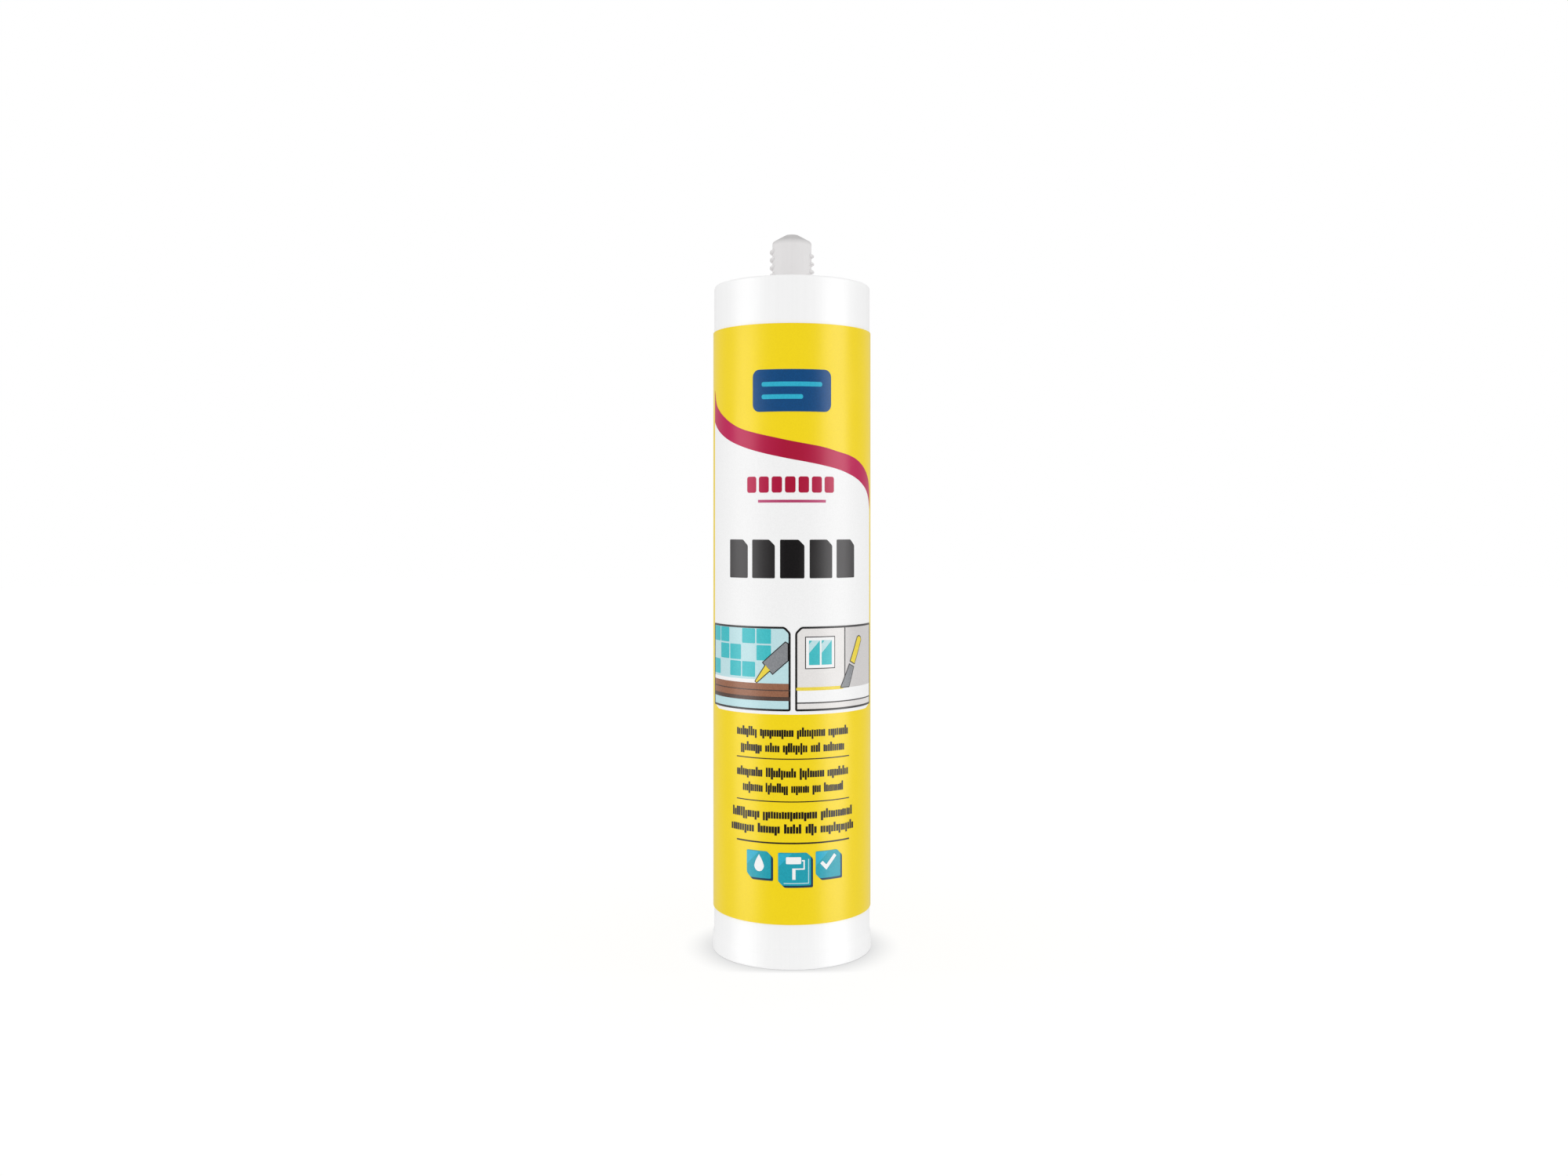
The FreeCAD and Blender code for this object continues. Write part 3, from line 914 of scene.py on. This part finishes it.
def paper_floor():
    """A white floor that keeps the tube's shadow and is clear from below. Its own glow is dimmed
    by an ambient occlusion node where the tube stands close by, a painted contact shadow, which in
    front of the foot is kept only in a thin line."""
    bm = bmesh.new()
    bmesh.ops.create_circle(bm, cap_ends=True, segments=96, radius=FLOOR_R)
    mesh = bpy.data.meshes.new("floor")
    bm.to_mesh(mesh)
    bm.free()
    floor = bpy.data.objects.new("floor", mesh)
    bpy.context.scene.collection.objects.link(floor)
    material = bpy.data.materials.new("white_paper_sweep")
    material.use_nodes = True
    tree = material.node_tree
    tree.nodes.clear()
    paper = add(tree, "BsdfDiffuse", {"Color": linear("#848484")})
    ray = add(tree, "LightPath")
    # The occlusion dims the floor's glow near the tube: a painted contact shadow.
    contact = add(tree, "AmbientOcclusion", {"Distance": 10 * MM})
    where = add(tree, "SeparateXYZ", links={0: add(tree, "TexCoord").outputs["Object"]})
    # Takes the painted contact shadow away in front of the foot, but for a thin line.
    front = add(
        tree,
        "MapRange",
        {"From Min": -0.0285, "From Max": -0.0253, "To Min": 1.0, "To Max": 0.0},
        {"Value": where.outputs[1]},
    )
    shade = add(
        tree,
        "Mix",
        {"data_type": "FLOAT", 3: 1.01},
        {0: front.outputs[0], 2: contact.outputs["AO"]},
    )
    glow = add(
        tree, "Math", {"operation": "MULTIPLY_ADD", 1: 0.52, 2: 0.258}, {0: shade.outputs[0]}
    )
    seen = add(
        tree,
        "Math",
        {"operation": "MULTIPLY"},
        {0: ray.outputs["Is Camera Ray"], 1: glow.outputs[0]},
    )
    lift = add(tree, "Emission", {"Color": (1, 1, 1, 1)}, {"Strength": seen.outputs[0]})
    both = add(tree, "AddShader", links={0: paper.outputs[0], 1: lift.outputs[0]})
    under = add(tree, "NewGeometry").outputs["Backfacing"]
    clear = add(tree, "BsdfTransparent")
    side = add(tree, "MixShader", links={0: under, 1: both.outputs[0], 2: clear.outputs[0]})
    add(tree, "OutputMaterial", links={"Surface": side.outputs[0]})
    mesh.materials.append(material)
    floor.visible_diffuse = floor.visible_glossy = floor.visible_shadow = False


def white_room():
    """A room that is white to the eye, and dark in the gloss but for the sweep behind the tube."""
    world = bpy.data.worlds.new("studio")
    bpy.context.scene.world = world
    world.use_nodes = True
    tree = world.node_tree
    tree.nodes.clear()
    ray = add(tree, "LightPath")
    away = add(tree, "SeparateXYZ", links={0: add(tree, "TexCoord").outputs["Generated"]})
    sweep = add(
        tree,
        "MapRange",
        {"From Min": 0.15, "From Max": 0.65, "To Min": 0.1, "To Max": 0.7},
        {"Value": away.outputs[1]},
    )
    level = add(
        tree,
        "Mix",
        {"data_type": "FLOAT", 2: 1.0},
        {0: ray.outputs["Is Glossy Ray"], 3: sweep.outputs[0]},
    )
    room = add(tree, "Background", {"Color": (1, 1, 1, 1)}, {"Strength": level.outputs[0]})
    add(tree, "OutputWorld", links={"Surface": room.outputs[0]})


def soft_lamps():
    """Two tall soft lamps, seen only as bands in the gloss. A lamp is (name, degrees from the
    front, width in metres, watts)."""
    lamps = (("lamp_left", -70, 0.62, 12.6), ("lamp_right", 66.5, 0.67, 18.8))
    for name, turn, width, power in lamps:
        lamp = bpy.data.lights.new(name, "AREA")
        lamp.shape, lamp.size, lamp.size_y, lamp.energy = "RECTANGLE", width, LAMP_LENGTH, power
        holder = bpy.data.objects.new(name, lamp)
        away = Vector((math.sin(math.radians(turn)), -math.cos(math.radians(turn)), 0.0))
        holder.location = away * LAMP_DISTANCE + Vector((0, 0, LAMP_HEIGHT))
        holder.rotation_euler = away.to_track_quat("Z", "Y").to_euler()
        holder.visible_diffuse = False
        bpy.context.scene.collection.objects.link(holder)


def front_camera():
    """The photograph's view: close in front of the tube, level, a little above its middle."""
    lens = bpy.data.cameras.new("camera")
    lens.sensor_width, lens.lens = 36.0, 31.5
    lens.shift_x, lens.shift_y = -0.00505, -0.0395
    lens.clip_start, lens.clip_end = 0.01, 20.0
    camera = bpy.data.objects.new("camera", lens)
    camera.location, camera.rotation_euler = (0, -0.439, 0.134), (math.pi / 2, 0, 0)
    bpy.context.scene.collection.objects.link(camera)
    bpy.context.scene.camera = camera
    bpy.context.scene.view_settings.view_transform = "Standard"


# A sides tone below is a painted sheen that the ink turns to towards the label's left and right.
INKS = {
    "white": printed_ink("white_ink", "#F3F3F3", "#EFEFEF", rough=0.48),
    "burgundy": printed_ink("burgundy_ink", "#AD0034", "#A80032", sides="#BB1452"),
    "light_burgundy": printed_ink("light_burgundy_ink", "#B53C68", "#AE3661", sides="#C9668D"),
    "charcoal": printed_ink("charcoal_ink", "#1B1819", "#141213", sides="#474546"),
    "blue": printed_ink("blue_ink", "#004A84", "#004478"),
    "cyan": printed_ink("cyan_ink", "#2BB2CF", "#25A8C6"),
    "pale_teal": printed_ink("pale_teal_ink", "#BFE0E4", "#B8DADF"),
    "teal": printed_ink("teal_ink", "#3FBFC6", "#38B5BD"),
    "brown": printed_ink("brown_ink", "#9B6A50", "#8E5F47"),
    "dark_brown": printed_ink("dark_brown_ink", "#5A463F", "#4F3D37"),
    "soft_yellow": printed_ink("soft_yellow_ink", "#EFD84A", "#E6CE3E"),
    "tool_grey": printed_ink("tool_grey_ink", "#8E9093", "#808286"),
    "warm_grey": printed_ink("warm_grey_ink", "#E6E3E1", "#E0DDDB"),
    "mid_grey": printed_ink("mid_grey_ink", "#D2CFCE", "#CBC8C7"),
    "small_print": printed_ink("small_print_ink", "#17131A", "#120F15", sides="#302A2C"),
    "navy": printed_ink("navy_ink", "#16415C", "#123750"),
    "badge_teal": printed_ink("badge_teal_ink", "#1AA3B5", "#1699AB"),
}

barrel_moulding(white_polyethylene())
label_wrap(printed_ink("yellow_ink", "#F4D705", "#F1D302"))
piston_moulding(natural_polyethylene())
paste_fill(acrylic_paste())
label_fields(INKS["white"], INKS["burgundy"])
head_marks(INKS)
picture_left(INKS)
picture_right(INKS)
picture_frames(INKS["charcoal"])
text_rows(INKS)
back_rows(INKS)
badges(INKS)
paper_floor()
white_room()
soft_lamps()
front_camera()
